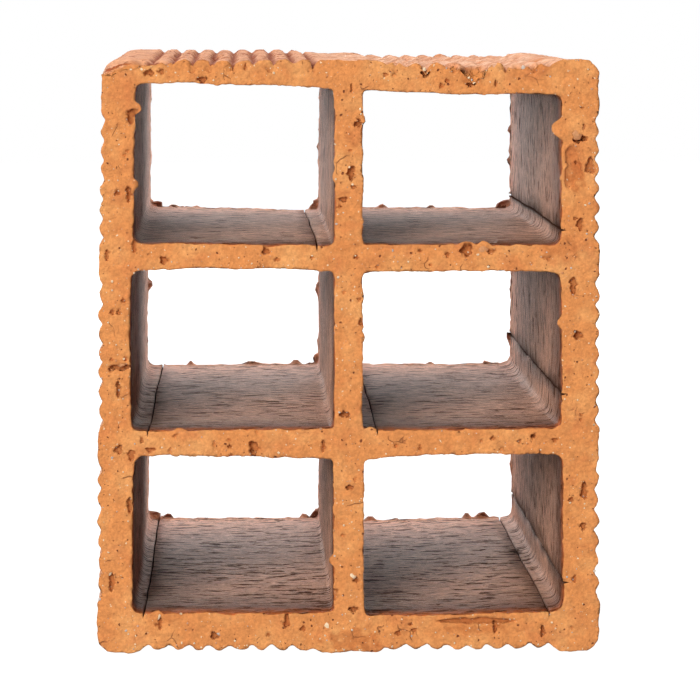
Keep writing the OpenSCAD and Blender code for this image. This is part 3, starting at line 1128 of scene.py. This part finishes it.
# The stones that stand out in the front cut, in mm: (x, z), the radius, and the tone from pale 0 to dark 1.
LARGE_STONES = (
    (53.3, 123.5, 1.6, 1.0), (31.4, 95.6, 1.2, 0.8), (52.8, 76.3, 1.2, 0.4), (-54.0, 68.6, 1.0, 0.75),
    (51.2, 51.5, 1.3, 0.7), (-57.3, 19.1, 1.0, 0.2), (-0.1, 40.5, 0.9, 0.75), (0.6, 18.2, 0.8, 0.1),
    (-45.5, 8.9, 0.8, 0.1), (-5.3, 6.4, 0.9, 0.15), (55.2, 5.6, 0.8, 0.2), (-20.2, 93.4, 0.6, 0.6),
    (17.5, 138.0, 0.4, 0.1), (-31.0, 4.7, 0.5, 0.45), (40.8, 138.4, 0.5, 0.45), (57.5, 83.5, 0.6, 0.45),
    (-49.0, 138.0, 0.35, 0.0), (28.0, 136.0, 0.3, 0.1), (31.0, 135.8, 0.26, 0.45), (29.3, 134.7, 0.34, 0.0),
    (30.3, 135.0, 0.24, 0.6), (28.7, 135.5, 0.24, 0.5),
)
# How deep a large stone's middle lies behind the cut, as a share of its radius.
STONE_SINK = 0.55
SMALLEST_GRAIN = 0.1 * MM


def large_stones(seed):
    """The chosen stones as one mesh of lumpy pebbles, with the attribute tone."""
    shuffle = np.random.default_rng(seed)
    stones = bmesh.new()
    tones = []
    for x, z, radius, tone in LARGE_STONES:
        made = bmesh.ops.create_icosphere(stones, subdivisions=2, radius=radius * MM)["verts"]
        stretch = shuffle.uniform(0.65, 1.1, 3)
        turn = shuffle.uniform(0, 6.28, 3)
        for vert in made:
            lump = 1 + 0.16 * math.sin(3 * vert.co.x / radius / MM + turn[0]) * math.cos(
                2.6 * vert.co.z / radius / MM + turn[1])
            vert.co = Vector(vert.co * lump * shuffle.uniform(0.94, 1.06)) * Vector(stretch).length / 1.5
            vert.co.x, vert.co.z = vert.co.x * stretch[0] / 0.85, vert.co.z * stretch[2] / 0.85
            vert.co.y *= 0.6
            vert.co += Vector((x * MM, FRONT_CUT + STONE_SINK * radius * MM, z * MM))
        tones += [tone] * len(made)
    mesh = bpy.data.meshes.new("large_stones")
    stones.to_mesh(mesh)
    stones.free()
    mesh.attributes.new("tone", "FLOAT", "POINT").data.foreach_set("value", tones)
    return mesh


def stones_tree():
    """Geometry Nodes tree that strews small angular grains over the cut faces of the block."""
    tree, given = new_tree("Strewn stone grains", {
        "Block": ("Object", None),
        "Cut Material": ("Material", None),
        "Grain Spacing": ("Float", 0.003),
        "Smallest Grain": ("Float", 0.00012),
        "Largest Grain": ("Float", 0.0004),
        "Seed": ("Int", 7),
        "Material": ("Material", None),
    })
    add = partial(add_node, tree)
    block = add("GeometryNodeObjectInfo", {"Object": given["Block"]}, transform_space="ORIGINAL")
    on_cut = add("GeometryNodeMaterialSelection", {"Material": given["Cut Material"]})
    room = add("ShaderNodeMath", [given["Grain Spacing"], given["Grain Spacing"]], operation="MULTIPLY")
    density = add("ShaderNodeMath", [1.6, room], operation="DIVIDE")
    tightest = add("ShaderNodeMath", [given["Grain Spacing"], 0.3], operation="MULTIPLY")
    places = add("GeometryNodeDistributePointsOnFaces", {
        "Mesh": block.outputs["Geometry"], "Selection": on_cut, "Distance Min": tightest,
        "Density Max": density, "Seed": given["Seed"],
    }, distribute_method="POISSON")
    stone = add("GeometryNodeMeshIcoSphere", {"Radius": 1.0, "Subdivisions": 1})
    turn = add("FunctionNodeRandomValue", {
        "Min": (0, 0, 0), "Max": (6.28, 6.28, 6.28), "Seed": given["Seed"],
    }, data_type="FLOAT_VECTOR")
    shape = add("FunctionNodeRandomValue", {
        "Min": (0.6, 0.6, 0.6), "Max": (1.2, 1.2, 1.2), "Seed": given["Seed"],
    }, data_type="FLOAT_VECTOR")
    chance = add("FunctionNodeRandomValue", {"Seed": given["Seed"]}, data_type="FLOAT")
    rare = add("ShaderNodeMath", [chance, 3.0], operation="POWER")
    size = add("ShaderNodeMapRange", {
        "Value": rare, "To Min": given["Smallest Grain"], "To Max": given["Largest Grain"],
    })
    scale = add("ShaderNodeVectorMath", {"Vector": shape, "Scale": size}, operation="SCALE")
    strewn = add("GeometryNodeInstanceOnPoints", {
        "Points": places.outputs["Points"], "Instance": stone, "Rotation": turn, "Scale": scale,
    })
    tone = add("FunctionNodeRandomValue", {
        "Seed": add("ShaderNodeMath", [given["Seed"], 5.0]),
    }, data_type="FLOAT")
    named = add("GeometryNodeStoreNamedAttribute", {
        "Geometry": strewn, "Name": "tone", "Value": tone,
    }, data_type="FLOAT", domain="INSTANCE")
    real = add("GeometryNodeRealizeInstances", {"Geometry": named})
    both = add("GeometryNodeJoinGeometry", [real.outputs["Geometry"]])
    tree.links.new(given["Geometry"], both.inputs[0])
    made = add("GeometryNodeSetMaterial", {"Geometry": both, "Material": given["Material"]})
    add("NodeGroupOutput", {"Geometry": made})
    return tree


# ---------------------------------------------------------------- operators


# The clay in front of this depth keeps all its points.
KEPT_DEPTH = 0.25 * MM


def by_label(sizes):
    """The sizes, keyed by the names of the trees' inputs that take them."""
    return {name.replace("_", " ").title(): getattr(sizes, name) for name in sizes.__annotations__}


class CLAYBLOCK_OT_build_block(Operator):
    """Draw the block out of the frame's section, roughen it and stand it for the CAD node"""

    bl_idname = "clay_block.build_block"
    bl_label = "Build Block"

    def execute(self, context):
        sizes, colours = context.scene.clay_block_sizes, context.scene.clay_block_colours
        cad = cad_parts[CAD_NODE]
        block = link_object("fired_block", section_mesh(cad, sizes))
        add_tree_modifier(block, block_tree(), {
            **by_label(sizes),
            "Length": REAR_CUT - FRONT_CUT,
            "Cut Material": cut_clay_material(colours),
            "Cell Material": cell_skin_material(colours),
            "Outer Material": outer_skin_material(colours),
        })
        block.data = applied_mesh(block)

        points = np.empty(len(block.data.vertices) * 3)
        block.data.vertices.foreach_get("co", points)
        points = points.reshape(-1, 3)
        behind = np.flatnonzero(points[:, 1] > FRONT_CUT + KEPT_DEPTH).tolist()
        tones = stains_and_groove_shade(points)
        pitted, moved = damage(points, cad, sizes.seed)
        block.data.vertices.foreach_set("co", points.ravel())
        # The first leads the painted shade in the pits; the last holds the painted shade in the grooves and
        # the stained patches of the front cut.
        for name, values in (
            ("pit", smooth_step(0.6 * MM, 1.5 * MM, pitted)),
            ("fresh", smooth_step(0.6 * MM, 1.5 * MM, moved)),
            ("stain_and_groove_shade", tones),
        ):
            block.data.attributes.new(name, "FLOAT", "POINT").data.foreach_set("value", values)
        block.data.attributes.remove(block.data.attributes["cell_wall"])
        block.data.update()

        triangles = sum(len(face.vertices) - 2 for face in block.data.polygons)
        block.vertex_groups.new(name="behind the front cut").add(behind, 1.0, "REPLACE")
        thin = block.modifiers.new("Thin the flat stretches", "DECIMATE")
        thin.ratio = min(1.0, sizes.triangle_limit / triangles)
        thin.vertex_group = "behind the front cut"
        block.data = applied_mesh(block)
        block.vertex_groups.clear()
        block.data.shade_smooth()
        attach(block, BODY)
        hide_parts(CAD_NODE)
        return {"FINISHED"}


class CLAYBLOCK_OT_strew_grains(Operator):
    """Set the large stones in the front cut and strew small grains over both cuts"""

    bl_idname = "clay_block.strew_grains"
    bl_label = "Strew Grains"

    def execute(self, context):
        sizes, colours = context.scene.clay_block_sizes, context.scene.clay_block_colours
        block = bpy.data.objects["fired_block"]
        grains = link_object("stone_grains", large_stones(sizes.seed))
        add_tree_modifier(grains, stones_tree(), {
            **by_label(sizes),
            "Block": block,
            "Cut Material": block.data.materials[CUT_MATERIAL],
            "Smallest Grain": SMALLEST_GRAIN,
            "Material": stone_material(colours),
        })
        grains.data = applied_mesh(grains)
        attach(grains, BODY)
        return {"FINISHED"}


# Soft lights: where each stands in metres, its width, and the light it casts on a face turned to
# it, as a share of what paper needs to look white.
LIGHTS = {
    "key": ((-1.0, -1.15, 1.15), 0.45, 0.4),
    "low_front": ((-0.45, -1.85, 0.42), 0.6, 0.84),
    "low_rear": ((-0.35, 1.85, 0.5), 1.2, 0.88),
    "right_rear": ((0.95, 1.6, 0.16), 0.8, 0.9),
    "top": ((0.2, 0.2, 1.7), 0.9, 0.36),
}
ROOM_LIGHT = 0.4
FLOOR_HALF = 4.0
# The camera's place and the point it looks at, in metres, and its focal length in mm.
CAMERA_PLACE = Vector((-0.0265, FRONT_CUT - 1.26, 0.1514))
CAMERA_AIM = Vector((0, FRONT_CUT, 0.0718))
FOCAL_LENGTH = 275


def paper_material():
    """White seamless paper, lit from inside so that it stays white in the picture."""
    material = bpy.data.materials.new("White seamless paper")
    material.use_nodes = True
    shader = material.node_tree.nodes["Principled BSDF"]
    shader.inputs["Base Color"].default_value = colour("#6C6C6C")
    shader.inputs["Roughness"].default_value = 0.9
    shader.inputs["Specular IOR Level"].default_value = 0.0
    shader.inputs["Emission Color"].default_value = (1, 1, 1, 1)
    shader.inputs["Emission Strength"].default_value = 1.0
    return material


def lay_floor(level):
    """A plain pale floor at a height, which lights nothing."""
    mesh = bpy.data.meshes.new("floor")
    ends = (-FLOOR_HALF, FLOOR_HALF)
    mesh.from_pydata([(x, y, level) for y in ends for x in ends], [], [(0, 1, 3, 2)])
    mesh.materials.append(paper_material())
    floor = link_object("floor", mesh)
    floor.visible_diffuse = False
    floor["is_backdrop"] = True


def hang_light(name, place, width, strength, target):
    """A square soft light that the camera doesn't see."""
    lamp = bpy.data.lights.new(name, "AREA")
    lamp.size = width
    lamp.energy = strength * (math.pi * (Vector(place) - target).length) ** 2
    light = bpy.data.objects.new(name, lamp)
    light.location = place
    light.rotation_euler = (target - Vector(place)).to_track_quat("-Z", "Y").to_euler()
    light.visible_camera = False
    bpy.context.scene.collection.objects.link(light)


def fill_room(scene):
    """A room that looks white to the eye and lights the block a good deal less."""
    world = bpy.data.worlds.new("White room")
    scene.world = world
    world.use_nodes = True
    tree = world.node_tree
    tree.nodes.clear()
    path = add_node(tree, "ShaderNodeLightPath").outputs
    seen = add_node(tree, "ShaderNodeMath", [path["Is Camera Ray"], path["Is Glossy Ray"]],
                    operation="MAXIMUM")
    strength = add_node(tree, "ShaderNodeMapRange", {"Value": seen, "To Min": ROOM_LIGHT, "To Max": 1.0})
    sky = add_node(tree, "ShaderNodeBackground", {"Color": (1, 1, 1, 1), "Strength": strength})
    add_node(tree, "ShaderNodeOutputWorld", {"Surface": sky})


def place_camera(scene):
    """A long lens a little above and to the left, looking at the middle of the front cut."""
    camera = bpy.data.objects.new("camera", bpy.data.cameras.new("camera"))
    camera.data.sensor_width = 36
    camera.data.lens = FOCAL_LENGTH
    camera.data.clip_end = 20
    camera.location = CAMERA_PLACE
    camera.rotation_euler = (CAMERA_AIM - CAMERA_PLACE).to_track_quat("-Z", "Y").to_euler()
    scene.collection.objects.link(camera)
    scene.camera = camera


class CLAYBLOCK_OT_set_studio(Operator):
    """Lay the pale floor, hang the soft lights and place the camera"""

    bl_idname = "clay_block.set_studio"
    bl_label = "Set Studio"

    def execute(self, context):
        low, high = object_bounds()
        lay_floor(low.z)
        fill_room(context.scene)
        for name, (place, width, strength) in LIGHTS.items():
            hang_light(name, place, width, strength, (low + high) / 2)
        place_camera(context.scene)
        context.scene.view_settings.view_transform = "Standard"
        return {"FINISHED"}


class CLAYBLOCK_PT_panel(Panel):
    """Sizes, colours and steps of the hollow clay block"""

    bl_label = "Hollow Clay Block"
    bl_idname = "CLAYBLOCK_PT_panel"
    bl_space_type = "VIEW_3D"
    bl_region_type = "UI"
    bl_category = "Clay Block"

    def draw(self, context):
        for settings in (context.scene.clay_block_sizes, context.scene.clay_block_colours):
            box = self.layout.box()
            for name in settings.__annotations__:
                box.prop(settings, name)
        for step in STEPS:
            self.layout.operator(step.bl_idname)


STEPS = (CLAYBLOCK_OT_build_block, CLAYBLOCK_OT_strew_grains, CLAYBLOCK_OT_set_studio)
CLASSES = (ClayBlockSizes, ClayBlockColours, *STEPS, CLAYBLOCK_PT_panel)


def register():
    for part in CLASSES:
        bpy.utils.register_class(part)
    bpy.types.Scene.clay_block_sizes = PointerProperty(type=ClayBlockSizes)
    bpy.types.Scene.clay_block_colours = PointerProperty(type=ClayBlockColours)


def unregister():
    del bpy.types.Scene.clay_block_colours
    del bpy.types.Scene.clay_block_sizes
    for part in reversed(CLASSES):
        bpy.utils.unregister_class(part)


def main():
    """Build the block and its studio."""
    register()
    bpy.ops.clay_block.build_block()
    bpy.ops.clay_block.strew_grains()
    bpy.ops.clay_block.set_studio()


if __name__ == "__main__":
    main()
